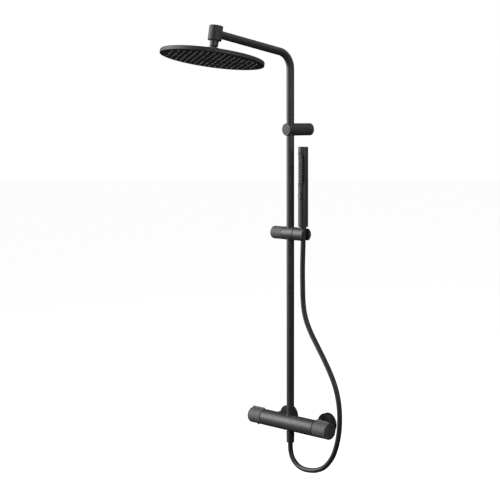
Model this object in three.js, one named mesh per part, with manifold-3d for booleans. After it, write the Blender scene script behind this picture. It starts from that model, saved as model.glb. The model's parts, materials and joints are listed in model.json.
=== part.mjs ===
// Wall-mounted thermostatic shower column: bar mixer, riser with overhead shower, hand shower and hose.
// Millimetres, +Z up. The origin is on the wall plane, midway between the two inlets, at their height.
// The column stands out from the wall along -Y; the temperature knob is at -X, the flow knob at +X.
import * as THREE from 'three';
import { mergeVertices } from 'three/addons/utils/BufferGeometryUtils.js';
import Module from 'manifold-3d';

const wasm = await Module();
wasm.setup();

// ---- Driving dimensions ----
const GAP = 0.3; // clearance between neighbouring pieces
const STANDOFF = 72; // wall to the axis of riser and mixer
const INLET_SPACING = 150; // standard distance between the two water inlets

const RISER_R = 10.25;
const RISER_WALL = 1.6;
const BEND_R = 45; // centreline radius of the bend at the top
const ARM_HEIGHT = 987.4; // where the arm's axis meets the riser's axis
const ARM_RISE = THREE.MathUtils.degToRad(10.07); // the arm climbs away from the wall
const ARM_REACH = 261.5; // along the arm, from the riser's axis to the elbow's axis

const MIXER_R = 21.85;
const MIXER_HALF = 101.1; // half the length of the fixed body
const SEAM = 2; // open groove between the body and each knob
const KNOB_END = 152.5; // outer end of each knob
const FIN_TOP = 25.4; // top of the ridge along each knob, above its axis
const STOP_RING_R = 14.6;
const KNOB_R = 21.7;
const SPINDLE_R = 4;

const ROSE_R = 29.6; // wall rose
const ROSE_DEPTH = 16;
const UNION_R = 10.5;

const BRACKET_HEIGHT = 790;
const BRACKET_R = 16.5;
const BRACKET_FRONT = 15.6; // how far the bracket stands in front of the riser's axis

const SLIDER_HEIGHT = 513.6;
const SLIDER_R = 17.6;
const SLIDER_LEFT = -17.8;
const SLIDER_RIGHT = 23.8;
const CLAMP_END = -65;
const CRADLE_R = 17.43;
const CRADLE_LEFT = 25.4;
const CRADLE_END = 62.6;

const HAND_X = 49.5; // axis of the hand shower
const HAND_R = 13.27;
const HAND_BOTTOM = 534;
const HAND_TOP = 745;
const SPRAY_BOTTOM = 642;
const SPRAY_TOP = 729;
const BUTTON_HEIGHT = 614;

const ELBOW_R = 17.8;
const ELBOW_UP = 19.6;
const ELBOW_DOWN = 18.2;
const BALL_R = 9;
const BALL_DROP = 42; // below the arm's axis, along the elbow's axis
const HEAD_R = 133;
const HEAD_TOP = -57.1; // top of the rim, along the elbow's axis
const HEAD_RIM = 10.4; // height of the rim
const CENTRE_DISC_R = 10;

const HOSE_R = 6.75;
const OUTLET_BOTTOM = -31; // lower end of the hose outlet on the mixer

// Facets round each size of turned piece
const DISC = 40;
const LARGE = 30;
const MEDIUM = 20;
const SMALL = 14;
const TINY = 10;

// ---- Materials ----
const finish = (color, roughness, metalness) =>
  new THREE.MeshStandardMaterial({ color, roughness, metalness });
const BLACK = finish(0x1d1d1f, 0.42, 0.55); // satin black coating on brass and steel
const FACE = finish(0x0f0f10, 0.5, 0.2); // near-black spray faces
const RUBBER = finish(0x151515, 0.8, 0);
const HOSE = finish(0x1a1a1b, 0.45, 0.1);
const PLASTIC = finish(0x202022, 0.6, 0);
const BRASS = finish(0xb08a4a, 0.35, 0.9);
const STEEL = finish(0xa9abad, 0.35, 0.9);

// ---- Geometry helpers ----
// One closed skin: corners are shared and no triangle is empty.
function closed(geometry) {
  geometry.deleteAttribute('normal');
  geometry.deleteAttribute('uv');
  const merged = mergeVertices(geometry, 1e-4);
  const source = merged.index.array;
  const corners = [];
  for (let i = 0; i < source.length; i += 3) {
    const [a, b, c] = source.subarray(i, i + 3);
    if (a !== b && b !== c && c !== a) corners.push(a, b, c);
  }
  merged.setIndex(corners);
  return merged;
}

function toSolid(geometry) {
  const skin = closed(geometry);
  return new wasm.Manifold(new wasm.Mesh({
    numProp: 3,
    vertProperties: Float32Array.from(skin.attributes.position.array),
    triVerts: Uint32Array.from(skin.index.array),
  }));
}

function fromSolid(solid) {
  const mesh = solid.getMesh();
  const geometry = new THREE.BufferGeometry();
  geometry.setAttribute('position', new THREE.BufferAttribute(mesh.vertProperties, 3));
  geometry.setIndex(new THREE.BufferAttribute(mesh.triVerts, 1));
  return geometry;
}

// Joins the added shapes to the first one, then cuts the others away.
function carve(base, { add = [], cut = [] }) {
  let solid = toSolid(base);
  for (const geometry of add) solid = solid.add(toSolid(geometry));
  for (const geometry of cut) solid = solid.subtract(toSolid(geometry));
  return fromSolid(solid);
}

// A turned piece. The profile lists [radius, height] round the section, either way about: the signed
// area says which, and the lathe needs the outside to run upwards.
function turned(axis, profile, segments = MEDIUM, at = [0, 0, 0]) {
  const outline = profile.map(([r, h]) => new THREE.Vector2(r, h));
  if (THREE.ShapeUtils.area(outline) < 0) outline.reverse();
  const shape = new THREE.LatheGeometry(outline, segments);
  if (axis === 'x') shape.rotateZ(-Math.PI / 2);
  if (axis === 'z') shape.rotateX(Math.PI / 2);
  return shape.translate(...at);
}

// A ring or sleeve of rectangular section.
const ring = (axis, inner, outer, from, to, segments, at) =>
  turned(axis, [[inner, from], [outer, from], [outer, to], [inner, to], [inner, from]], segments, at);

// A plain round bar, with an optional chamfer at its high end.
function bar(axis, radius, from, to, segments, at, chamfer = 0) {
  const profile = [[0, from], [radius, from], [radius, to - chamfer]];
  if (chamfer) profile.push([radius - chamfer, to]);
  return turned(axis, [...profile, [0, to]], segments, at);
}

// A slot-shaped bar along Y: width across X, height along Z, with round ends.
function slotBar(width, height, depth, at) {
  const r = width / 2;
  const straight = height / 2 - r;
  const outline = new THREE.Shape();
  outline.moveTo(r, -straight);
  outline.lineTo(r, straight);
  outline.absarc(0, straight, r, 0, Math.PI, false);
  outline.lineTo(-r, -straight);
  outline.absarc(0, -straight, r, Math.PI, 2 * Math.PI, false);
  const shape = new THREE.ExtrudeGeometry(outline, { depth, bevelEnabled: false, curveSegments: 8 });
  return shape.rotateX(Math.PI / 2).translate(...at); // the depth now runs towards -Y
}

const block = (sx, sy, sz, x, y, z) => new THREE.BoxGeometry(sx, sy, sz).translate(x, y, z);

// A curve through chosen stations, so that straight lengths take one step and bends take many.
class StationCurve extends THREE.Curve {
  constructor(stations) {
    super();
    this.stations = stations;
  }
  station(u) {
    return this.stations[Math.round(u * (this.stations.length - 1))];
  }
  getPointAt(u, target = new THREE.Vector3()) {
    return target.copy(this.station(u).point);
  }
  getTangentAt(u, target = new THREE.Vector3()) {
    return target.copy(this.station(u).tangent);
  }
  getSpacedPoints(divisions) {
    return Array.from({ length: divisions + 1 }, (_, i) => this.getPointAt(i / divisions));
  }
}

const column = new THREE.Group();
function piece(name, geometry, material, parent = column) {
  const mesh = new THREE.Mesh(geometry.attributes.normal ? closed(geometry) : geometry, material);
  mesh.name = name;
  parent.add(mesh);
  return mesh;
}

const AXIS = [0, -STANDOFF, 0]; // a point on the axis of the mixer and of the riser

// ---- Mixer body ----
// A hollow bar: a cartridge seat at each end, a waterway between them, a riser socket and a hose outlet.
const SEAT_R = 15.5;
const SEAT_END = 62;
const WATERWAY_R = 7;
const TAIL_R = 13.2;
const TAIL_END = -39; // Y of the inlet tails' sealing faces
const SOCKET_FLOOR = 13;
const OUTLET_R = 8.6;
const inletXs = [-INLET_SPACING / 2, INLET_SPACING / 2];

const mixerBar = turned('x', [
  [MIXER_R, -MIXER_HALF], [MIXER_R, MIXER_HALF], [SEAT_R, MIXER_HALF], [SEAT_R, SEAT_END],
  [WATERWAY_R, SEAT_END], [WATERWAY_R, -SEAT_END], [SEAT_R, -SEAT_END], [SEAT_R, -MIXER_HALF],
  [MIXER_R, -MIXER_HALF],
], LARGE, AXIS);
piece('mixer_body', carve(mixerBar, {
  add: [
    ...inletXs.map((x) => ring('y', 8, TAIL_R, -STANDOFF + 17.5, TAIL_END, SMALL, [x, 0, 0])),
    ring('z', 5.5, OUTLET_R, OUTLET_BOTTOM, -18, SMALL, AXIS),
  ],
  cut: [
    ...inletXs.map((x) => bar('y', 8, -STANDOFF + 10, TAIL_END + 1, SMALL, [x, 0, 0])),
    bar('z', RISER_R + GAP, SOCKET_FLOOR, MIXER_R + 5, SMALL, AXIS),
    bar('z', 6, 0, SOCKET_FLOOR + 1, SMALL, AXIS),
    bar('z', 5.5, OUTLET_BOTTOM - 1, 0, SMALL, AXIS),
  ],
}), BLACK);

// ---- Both ends of the mixer: cartridge, spindle, stop ring and knob ----
// Each is turned about +X for the flow side; the temperature side is the same, facing -X.
const SKIRT_R = 18.6;
const SKIRT_FLOOR = 134;
const BUTTON_X = 130;
const BUTTON_TIP = -25.2;
const BUTTON_R = 2.4;

function mixerEnd(side, names, { port = [] } = {}) {
  const end = (profile, segments) =>
    turned('x', profile.map(([r, h]) => [r, side * h]), segments, AXIS);
  piece(names.cartridge, end([
    [SPINDLE_R + GAP, SEAT_END + GAP], [SEAT_R - GAP, SEAT_END + GAP], [SEAT_R - GAP, MIXER_HALF - 4],
    [11, MIXER_HALF - 3], [11, MIXER_HALF + 6], [SPINDLE_R + GAP, MIXER_HALF + 6],
    [SPINDLE_R + GAP, SEAT_END + GAP],
  ], MEDIUM), BRASS);
  piece(names.spindle, end([
    [0, SEAT_END + 20], [SPINDLE_R, SEAT_END + 20], [SPINDLE_R, SKIRT_FLOOR + 4], [0, SKIRT_FLOOR + 4],
  ], TINY), BRASS);
  piece(names.stopRing, end([
    [11 + GAP, MIXER_HALF + GAP], [STOP_RING_R, MIXER_HALF + GAP], [STOP_RING_R, MIXER_HALF + 3.4],
    [11 + GAP, MIXER_HALF + 3.4], [11 + GAP, MIXER_HALF + GAP],
  ], MEDIUM), PLASTIC);
  const knobStart = MIXER_HALF + SEAM;
  const cap = end([
    [SKIRT_R, knobStart], [KNOB_R, knobStart], [KNOB_R, KNOB_END - 1.4],
    [KNOB_R - 1.2, KNOB_END], [0, KNOB_END], [0, SKIRT_FLOOR + 5], [SPINDLE_R + GAP, SKIRT_FLOOR + 5],
    [SPINDLE_R + GAP, SKIRT_FLOOR], [SKIRT_R, SKIRT_FLOOR], [SKIRT_R, knobStart],
  ], LARGE);
  const finLength = KNOB_END - knobStart - 2.2;
  const fin = block(finLength, 5, 5, side * (knobStart + 0.7 + finLength / 2), -STANDOFF, FIN_TOP - 2.5);
  piece(names.knob, carve(cap, { add: [fin], cut: port }), BLACK);
}

mixerEnd(-1, {
  cartridge: 'thermostatic_cartridge', spindle: 'temperature_spindle',
  stopRing: 'temperature_stop_ring', knob: 'temperature_knob',
}, { port: [bar('z', BUTTON_R + GAP, -KNOB_R - 2, -SKIRT_R + 1, TINY, [-BUTTON_X, -STANDOFF, 0])] });
mixerEnd(1, {
  cartridge: 'flow_cartridge', spindle: 'flow_spindle', stopRing: 'flow_stop_ring', knob: 'flow_knob',
});
piece('safety_button', turned('z', [
  [0, BUTTON_TIP], [BUTTON_R - 0.4, BUTTON_TIP], [BUTTON_R, BUTTON_TIP + 0.4], [BUTTON_R, -SKIRT_R + 0.7],
  [BUTTON_R + 1.2, -SKIRT_R + 0.7], [BUTTON_R + 1.2, -SKIRT_R + 2.2], [0, -SKIRT_R + 2.2],
], TINY, [-BUTTON_X, -STANDOFF, 0]), PLASTIC);

// ---- Inlets: union nut, sealing washer, wall union and rose on each side ----
['left', 'right'].forEach((side, i) => {
  const at = [inletXs[i], 0, 0];
  const washerY = TAIL_END + GAP;
  const flangeY = washerY + 1.4 + GAP;
  const lipY = flangeY + 2.5 + GAP;
  const nut = new THREE.CylinderGeometry(17.3, 17.3, 17, 6).translate(at[0], lipY - 4.3, 0);
  piece(`inlet_nut_${side}`, carve(nut, {
    cut: [
      bar('y', TAIL_R + GAP, lipY - 20, lipY, SMALL, at),
      bar('y', UNION_R + GAP, lipY - 1, lipY + 10, SMALL, at),
    ],
  }), BLACK);
  piece(`inlet_washer_${side}`, ring('y', 8, 12.8, washerY, washerY + 1.4, SMALL, at), RUBBER);
  piece(`wall_union_${side}`, turned('y', [
    [8, flangeY], [12.9, flangeY], [12.9, lipY - GAP], [UNION_R, lipY - GAP], [UNION_R, -0.5], [8, -0.5],
    [8, flangeY],
  ], SMALL, at), BLACK);
  piece(`wall_rose_${side}`, turned('y', [
    [UNION_R + GAP, -ROSE_DEPTH], [ROSE_R - 2, -ROSE_DEPTH], [ROSE_R - 0.7, 1.2 - ROSE_DEPTH],
    [ROSE_R - 0.7, -5.6], [ROSE_R, -5], [ROSE_R, 0], [ROSE_R - 3.4, 0], [ROSE_R - 3.4, 2.5 - ROSE_DEPTH],
    [UNION_R + GAP, 2.5 - ROSE_DEPTH], [UNION_R + GAP, -ROSE_DEPTH],
  ], LARGE, at), BLACK);
});

// ---- Riser, its collar and the tube that bends into the arm ----
const BORE_R = RISER_R - RISER_WALL;
piece('riser_collar', carve(ring('z', RISER_R + GAP, RISER_R + 1.9, 17, MIXER_R + 1.4, MEDIUM, AXIS), {
  cut: [bar('x', MIXER_R + GAP, -20, 20, LARGE, AXIS)],
}), BLACK);
piece('riser_tube',
  ring('z', BORE_R, RISER_R, SOCKET_FLOOR + GAP, BRACKET_HEIGHT - GAP / 2, MEDIUM, AXIS), BLACK);
piece('riser_joint_sleeve',
  ring('z', BORE_R - 2, BORE_R - GAP, BRACKET_HEIGHT - 20, BRACKET_HEIGHT + 20, SMALL, AXIS), BRASS);

const turn = Math.PI / 2 - ARM_RISE;
const bendStart = ARM_HEIGHT - BEND_R * Math.tan(turn / 2);
const armDirection = new THREE.Vector3(0, -Math.cos(ARM_RISE), Math.sin(ARM_RISE));
const ELBOW_POCKET = 6; // the arm stops this far from the elbow's axis
const stations = [{
  point: new THREE.Vector3(0, -STANDOFF, BRACKET_HEIGHT + GAP / 2),
  tangent: new THREE.Vector3(0, 0, 1),
}];
const BEND_STEPS = 10;
for (let i = 0; i <= BEND_STEPS; i++) {
  const angle = (turn * i) / BEND_STEPS;
  stations.push({
    point: new THREE.Vector3(
      0, -STANDOFF - BEND_R * (1 - Math.cos(angle)), bendStart + BEND_R * Math.sin(angle)),
    tangent: new THREE.Vector3(0, -Math.sin(angle), Math.cos(angle)),
  });
}
const elbowCentre = new THREE.Vector3(0, -STANDOFF, ARM_HEIGHT).addScaledVector(armDirection, ARM_REACH);
stations.push({
  point: elbowCentre.clone().addScaledVector(armDirection, -ELBOW_POCKET),
  tangent: armDirection,
});
const tubeSection = new THREE.Shape().absarc(0, 0, RISER_R, 0, 2 * Math.PI, false);
tubeSection.holes.push(new THREE.Path().absarc(0, 0, BORE_R, 0, 2 * Math.PI, true));
piece('arm_tube', new THREE.ExtrudeGeometry(tubeSection, {
  steps: stations.length - 1, curveSegments: MEDIUM / 2, extrudePath: new StationCurve(stations),
}), BLACK);

// ---- Wall bracket ----
const bracketAt = [0, 0, BRACKET_HEIGHT];
const bracketFront = -STANDOFF - BRACKET_FRONT;
const SPIGOT_R = 12.2;
const GRUB_Y = -11;
piece('bracket_sleeve', carve(turned('y', [
  [0, bracketFront], [BRACKET_R - 0.8, bracketFront], [BRACKET_R, bracketFront + 0.8], [BRACKET_R, -0.3],
  [SPIGOT_R + GAP, -0.3], [SPIGOT_R + GAP, -22], [0, -22],
], LARGE, bracketAt), {
  cut: [
    bar('z', RISER_R + GAP, BRACKET_HEIGHT - 20, BRACKET_HEIGHT + 20, MEDIUM, AXIS),
    bar('z', 2.2 + GAP, BRACKET_HEIGHT - 20, BRACKET_HEIGHT - 8, TINY, [0, GRUB_Y, 0]),
  ],
}), BLACK);
piece('bracket_spigot', turned('y', [
  [2.7, -20], [SPIGOT_R, -20], [SPIGOT_R, 0], [2.7, 0], [2.7, -20],
], MEDIUM, bracketAt), STEEL);
piece('bracket_wall_screw', turned('y', [
  [0, -21.7], [4.6, -21.7], [4.6, -20.3], [2.4, -20.3], [2.4, -0.3], [0, -0.3],
], TINY, bracketAt), STEEL);
piece('bracket_grub_screw',
  bar('z', 2.2, BRACKET_HEIGHT - 16, BRACKET_HEIGHT - SPIGOT_R - GAP, TINY, [0, GRUB_Y, 0]), STEEL);

// ---- Elbow and overhead shower, in a frame that leans with the arm ----
// Here -Z runs down the elbow's axis and the arm arrives from +Y.
const overhead = new THREE.Group();
overhead.position.copy(elbowCentre);
overhead.rotation.x = -ARM_RISE;
column.add(overhead);

const STEM_R = 8;
piece('elbow', carve(turned('z', [
  [0, -ELBOW_DOWN], [ELBOW_R - 1, -ELBOW_DOWN], [ELBOW_R, 1 - ELBOW_DOWN], [ELBOW_R, ELBOW_UP - 1.4],
  [ELBOW_R - 1.4, ELBOW_UP], [0, ELBOW_UP],
], LARGE), {
  cut: [
    bar('y', RISER_R + GAP, ELBOW_POCKET - GAP, 30, MEDIUM),
    bar('z', STEM_R + GAP, -30, 0, SMALL),
  ],
}), BLACK, overhead);

const ballTop = Math.sqrt(BALL_R ** 2 - 6 ** 2); // where the neck meets the ball
const ballBottom = Math.sqrt(BALL_R ** 2 - 3.5 ** 2); // where the waterway leaves it
const ballProfile = [];
const BALL_STEPS = 8;
const ballFrom = Math.atan2(ballTop, 6);
const ballTo = Math.atan2(-ballBottom, 3.5);
for (let i = 0; i <= BALL_STEPS; i++) {
  const angle = ballFrom + ((ballTo - ballFrom) * i) / BALL_STEPS;
  ballProfile.push([BALL_R * Math.cos(angle), BALL_R * Math.sin(angle) - BALL_DROP]);
}
const CONNECTOR_R = 11;
const CONNECTOR_BOTTOM = -33;
piece('ball_connector', turned('z', [
  [3.5, -11], [3.5, -BALL_DROP - ballBottom], ...ballProfile.reverse().slice(1),
  [6, CONNECTOR_BOTTOM], [CONNECTOR_R, CONNECTOR_BOTTOM], [CONNECTOR_R, -ELBOW_DOWN - GAP],
  [STEM_R, -ELBOW_DOWN - GAP], [STEM_R, -11], [3.5, -11],
], MEDIUM), BLACK, overhead);

piece('ball_seat_ring',
  ring('z', BALL_R + GAP, 11, -BALL_DROP - 1.5, -BALL_DROP + 1.5, MEDIUM), PLASTIC, overhead);
const COLLAR_R = 16;
piece('head_collar', turned('z', [
  [8.2, -36.6], [13.6, -39.2], [13.6, -47], [COLLAR_R, -47], [COLLAR_R, -37.6], [COLLAR_R - 1, -36.6],
  [8.2, -36.6],
], MEDIUM), BLACK, overhead);

const rimBottom = HEAD_TOP - HEAD_RIM;
const LIP = 1.6;
const SHELL = 2.2;
piece('head_shell', turned('z', [
  [9, -55], [HEAD_R - 6, HEAD_TOP - SHELL - 1.4], [HEAD_R - LIP, HEAD_TOP - 5], [HEAD_R - LIP, rimBottom],
  [HEAD_R, rimBottom], [HEAD_R, HEAD_TOP - 1.6], [HEAD_R - 1.6, HEAD_TOP], [60, -53], [22, -49.5],
  [COLLAR_R, -47.3], [12, -47.3], [12, -52], [9, -52], [9, -55],
], DISC), BLACK, overhead);
piece('head_nozzle_mat',
  ring('z', CENTRE_DISC_R + 3, HEAD_R - 8, rimBottom + 3.2, rimBottom + 5, LARGE), RUBBER, overhead);
const PLATE_R = HEAD_R - LIP - GAP;
piece('head_face_plate',
  ring('z', CENTRE_DISC_R + GAP, PLATE_R, rimBottom + 0.3, rimBottom + 2.9, DISC), FACE, overhead);
piece('head_centre_disc', turned('z', [
  [0, rimBottom + 0.2], [CENTRE_DISC_R, rimBottom + 0.2], [CENTRE_DISC_R, rimBottom + 3.6],
  [0, rimBottom + 3.6],
], LARGE), FACE, overhead);

// ---- Slider: bush on the riser, body, clamp and tilting cradle ----
const sliderAt = [0, -STANDOFF, SLIDER_HEIGHT];
const BUSH_R = 11.6;
piece('slider_bush', ring('z', RISER_R + GAP, BUSH_R, -15.5, 15.5, MEDIUM, sliderAt), PLASTIC);
piece('slider_body', carve(bar('x', SLIDER_R, SLIDER_LEFT, SLIDER_RIGHT, LARGE, sliderAt), {
  cut: [
    bar('z', BUSH_R + GAP, -30, 30, MEDIUM, sliderAt),
    bar('x', 5.2, SLIDER_LEFT - 5, -8, SMALL, sliderAt),
    bar('x', 3.2, 8, SLIDER_RIGHT + 5, TINY, sliderAt),
  ],
}), BLACK);
piece('clamp_pad', bar('x', 4.8, -14.6, -BUSH_R - GAP - 0.2, TINY, sliderAt), PLASTIC);
piece('clamp_screw', bar('x', 4, -44, -15, TINY, sliderAt), STEEL);
piece('clamp_knob', turned('x', [
  [0, CLAMP_END], [13.2, CLAMP_END], [17.2, CLAMP_END + 3.8], [17.2, SLIDER_LEFT - 0.7],
  [4.3, SLIDER_LEFT - 0.7], [4.3, -44.4], [0, -44.4],
], LARGE, sliderAt), BLACK);
piece('cradle_washer',
  ring('x', 3.5, 16.4, SLIDER_RIGHT + GAP, CRADLE_LEFT - GAP, MEDIUM, sliderAt), PLASTIC);
piece('cradle_pivot_screw', turned('x', [
  [0, 13], [2.9, 13], [2.9, 36], [5, 36], [5, 38.6], [0, 38.6],
], TINY, sliderAt), STEEL);
const CONE_TOP_R = 9.3;
const CONE_BOTTOM_R = 8.3;
piece('cradle', carve(bar('x', CRADLE_R, CRADLE_LEFT, CRADLE_END, LARGE, sliderAt, 0.8), {
  cut: [
    turned('z', [[0, -20], [CONE_BOTTOM_R, -20], [CONE_TOP_R, 20], [0, 20]], MEDIUM,
      [HAND_X, -STANDOFF, SLIDER_HEIGHT]),
    block(20, 2 * (HOSE_R + 0.5), 50, HAND_X + 10, -STANDOFF, SLIDER_HEIGHT),
    bar('x', 3.2, CRADLE_LEFT - 5, 40, TINY, sliderAt),
    bar('x', 5.3, 35.6, 45, SMALL, sliderAt),
  ],
}), BLACK);

// ---- Hand shower: a plain stick with a slot-shaped spray face and a round-ended button ----
const handAt = [HAND_X, -STANDOFF, 0];
const SPRAY_HALF = 11.9;
const SPRAY_BACK = 5.8; // the spray face's flat back, in front of the axis
const sprayHeight = SPRAY_TOP - SPRAY_BOTTOM;
const sprayMiddle = (SPRAY_TOP + SPRAY_BOTTOM) / 2;
const BUTTON_HALF = 6.6;
const BUTTON_TALL = 19;
const BUTTON_PROUD = 1.1;
const front = (depth, z) => [HAND_X, -STANDOFF - depth, z];
piece('hand_shower_shell', carve(turned('z', [
  [8.2, HAND_BOTTOM], [HAND_R - 0.8, HAND_BOTTOM], [HAND_R, HAND_BOTTOM + 0.8], [HAND_R, HAND_TOP - 1],
  [HAND_R - 1, HAND_TOP], [0, HAND_TOP], [0, HAND_TOP - 3], [11.3, HAND_TOP - 3], [11.3, HAND_BOTTOM + 14],
  [8.2, HAND_BOTTOM + 14], [8.2, HAND_BOTTOM],
], LARGE, handAt), {
  cut: [
    slotBar(2 * SPRAY_HALF, sprayHeight, 20, front(SPRAY_BACK, sprayMiddle)),
    slotBar(2 * (BUTTON_HALF + GAP), BUTTON_TALL + 2 * GAP, 20, front(SPRAY_BACK, BUTTON_HEIGHT)),
  ],
}), BLACK);
const sprayBar = toSolid(slotBar(
  2 * (SPRAY_HALF - GAP), sprayHeight - 2 * GAP, 20, front(SPRAY_BACK + GAP, sprayMiddle)));
piece('hand_spray_face', fromSolid(sprayBar.intersect(
  toSolid(bar('z', HAND_R, HAND_BOTTOM, HAND_TOP, LARGE, handAt)))), FACE);
piece('hand_nozzle_mat', block(17, 1.6, 70, HAND_X, -STANDOFF - SPRAY_BACK + 0.9, sprayMiddle), RUBBER);
const buttonBar = toSolid(slotBar(2 * BUTTON_HALF, BUTTON_TALL, 20, front(SPRAY_BACK + 2, BUTTON_HEIGHT)));
piece('hand_button', fromSolid(buttonBar.intersect(
  toSolid(bar('z', HAND_R + BUTTON_PROUD, HAND_BOTTOM, HAND_TOP, LARGE, handAt)))), PLASTIC);
piece('hand_inlet_tail', ring('z', 3.6, 6.8, HAND_BOTTOM - 1.2, HAND_BOTTOM + 13.6, SMALL, handAt), BRASS);

// ---- Hose with a cone nut at each end ----
const NUT_TOP = HAND_BOTTOM - 0.4;
const NUT_BOTTOM = 498;
const NUT_BORE = HOSE_R + 0.4;
piece('hose_nut_upper', turned('z', [
  [NUT_BORE, NUT_BOTTOM], [7.8, NUT_BOTTOM], [8.8, NUT_TOP], [NUT_BORE, NUT_TOP], [NUT_BORE, NUT_BOTTOM],
], MEDIUM, handAt), BLACK);
piece('hose_washer_upper',
  ring('z', 3.6, 6.7, HAND_BOTTOM - 2.8, HAND_BOTTOM - 1.5, SMALL, handAt), RUBBER);
piece('hose_nut_lower', turned('z', [
  [NUT_BORE, -53], [10.35, -53], [11, -22.4], [OUTLET_R + GAP, -22.4],
  [OUTLET_R + GAP, OUTLET_BOTTOM - 2.6], [NUT_BORE, OUTLET_BOTTOM - 2.6], [NUT_BORE, -53],
], MEDIUM, AXIS), BLACK);
piece('hose_washer_lower',
  ring('z', 5.5, OUTLET_R - 0.2, OUTLET_BOTTOM - 2.3, OUTLET_BOTTOM - GAP, SMALL, AXIS), RUBBER);

// The hose hangs in the plane of the riser: [x, z] from the hand shower down and round to the outlet.
const hoseRoute = [
  [49.5, 530.9], [49.5, 512], [49.5, 492], [48.6, 467], [47.6, 435], [47.4, 403], [48, 371],
  [49.2, 340], [53.2, 312], [60, 290], [69.9, 270], [83.9, 248.5], [103.1, 223.5], [126.6, 193],
  [150, 160], [168, 129.5], [180, 99], [186.4, 68.5], [188.2, 37], [186, 5], [178.6, -28],
  [165.4, -60], [149.5, -81.8], [130.4, -98.8], [107.8, -110], [83, -116], [58.6, -117.8],
  [42.6, -116.2], [27.2, -110.6], [10.8, -97.6], [1.9, -79.2], [0, -58.6], [0, -46], [0, -33.9],
].map(([x, z]) => new THREE.Vector3(x, -STANDOFF, z));
const hoseSection = new THREE.Shape().absarc(0, 0, HOSE_R, 0, 2 * Math.PI, false);
piece('shower_hose', new THREE.ExtrudeGeometry(hoseSection, {
  steps: 34, curveSegments: 5, extrudePath: new THREE.CatmullRomCurve3(hoseRoute, false, 'centripetal'),
}), HOSE);

export default column;
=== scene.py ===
# Wall-mounted thermostatic shower column: the looks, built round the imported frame.
# Shapes are in millimetres and turn into metres once, in build(). +Z is up and the wall is at Y = 0.
import json
import math

import bmesh
import bpy
from mathutils import Matrix, Vector


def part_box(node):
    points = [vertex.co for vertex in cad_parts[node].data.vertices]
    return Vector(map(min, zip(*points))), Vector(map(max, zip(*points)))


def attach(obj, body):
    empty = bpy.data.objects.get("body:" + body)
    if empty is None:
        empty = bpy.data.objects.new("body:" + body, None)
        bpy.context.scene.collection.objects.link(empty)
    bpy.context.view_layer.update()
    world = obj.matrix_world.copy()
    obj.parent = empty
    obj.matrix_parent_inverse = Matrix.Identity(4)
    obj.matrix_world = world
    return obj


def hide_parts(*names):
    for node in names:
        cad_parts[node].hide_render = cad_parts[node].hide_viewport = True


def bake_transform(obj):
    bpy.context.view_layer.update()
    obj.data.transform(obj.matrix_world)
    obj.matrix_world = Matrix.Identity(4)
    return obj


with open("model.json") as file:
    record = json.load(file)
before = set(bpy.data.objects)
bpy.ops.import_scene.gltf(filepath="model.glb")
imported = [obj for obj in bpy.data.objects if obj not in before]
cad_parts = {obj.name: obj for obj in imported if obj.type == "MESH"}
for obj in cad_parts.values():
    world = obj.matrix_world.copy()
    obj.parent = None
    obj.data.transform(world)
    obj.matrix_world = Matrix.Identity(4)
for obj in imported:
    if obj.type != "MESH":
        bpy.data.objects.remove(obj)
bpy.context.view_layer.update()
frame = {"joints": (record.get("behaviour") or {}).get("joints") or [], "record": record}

MM = 0.001
GAP = 0.3  # clearance between neighbouring pieces
FINE = 128  # sides of the large turned pieces
MEDIUM = 96
SMALL = 48


# ---- Sizes read from the frame, in millimetres ----
def low(node, axis):
    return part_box(node)[0]["xyz".index(axis)] / MM


def high(node, axis):
    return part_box(node)[1]["xyz".index(axis)] / MM


def radius(node, *axes):
    return max(high(node, axis) - low(node, axis) for axis in axes) / 2


def middle(node, axis):
    return (high(node, axis) + low(node, axis)) / 2


RISER_R = radius("riser_tube", "x", "y")
AXIS_Y = middle("riser_tube", "y")
AXIS = (0, AXIS_Y, 0)  # a point on the axis of the riser and of the mixer
RISER_WALL = 1.6
BORE_R = RISER_R - RISER_WALL


# ---- Camera: a long lens, a little above the middle, looking from the flow side ----
CAMERA_AT = (2.80807, -2.68061, 0.82173)
CAMERA_TURN = (84.743, -0.162, 48.722)  # tilt from straight down, roll, heading, in degrees
LENS = 103.63


def add_camera():
    data = bpy.data.cameras.new("camera")
    data.lens = LENS
    data.clip_end = 100
    camera = bpy.data.objects.new("camera", data)
    tilt, roll, heading = (math.radians(angle) for angle in CAMERA_TURN)
    turn = Matrix.Rotation(heading, 4, "Z") @ Matrix.Rotation(tilt, 4, "X") @ Matrix.Rotation(roll, 4, "Z")
    camera.matrix_world = Matrix.Translation(CAMERA_AT) @ turn
    bpy.context.scene.collection.objects.link(camera)
    bpy.context.scene.camera = camera


add_camera()


# ---- Shapes: a shape is (corner points, faces), made and changed by these functions ----
def bezier_corner(before, corner, after, size, steps=4):
    """Points that round one corner of an outline."""
    start = corner + (before - corner).normalized() * min(size, 0.48 * (before - corner).length)
    end = corner + (after - corner).normalized() * min(size, 0.48 * (after - corner).length)
    points = []
    for i in range(steps + 1):
        t = i / steps
        points.append(start * (1 - t) ** 2 + corner * 2 * t * (1 - t) + end * t ** 2)
    return points


def rounded(outline, closed):
    """An outline of (radius, height) or (radius, height, rounding) corners as plain points."""
    corners = [Vector(point[:2]) for point in outline]
    points = []
    for i, point in enumerate(outline):
        at_end = not closed and i in (0, len(outline) - 1)
        if len(point) < 3 or at_end:
            points.append(corners[i])
        else:
            after = corners[(i + 1) % len(corners)]
            points += bezier_corner(corners[i - 1], corners[i], after, point[2])
    return points


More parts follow.
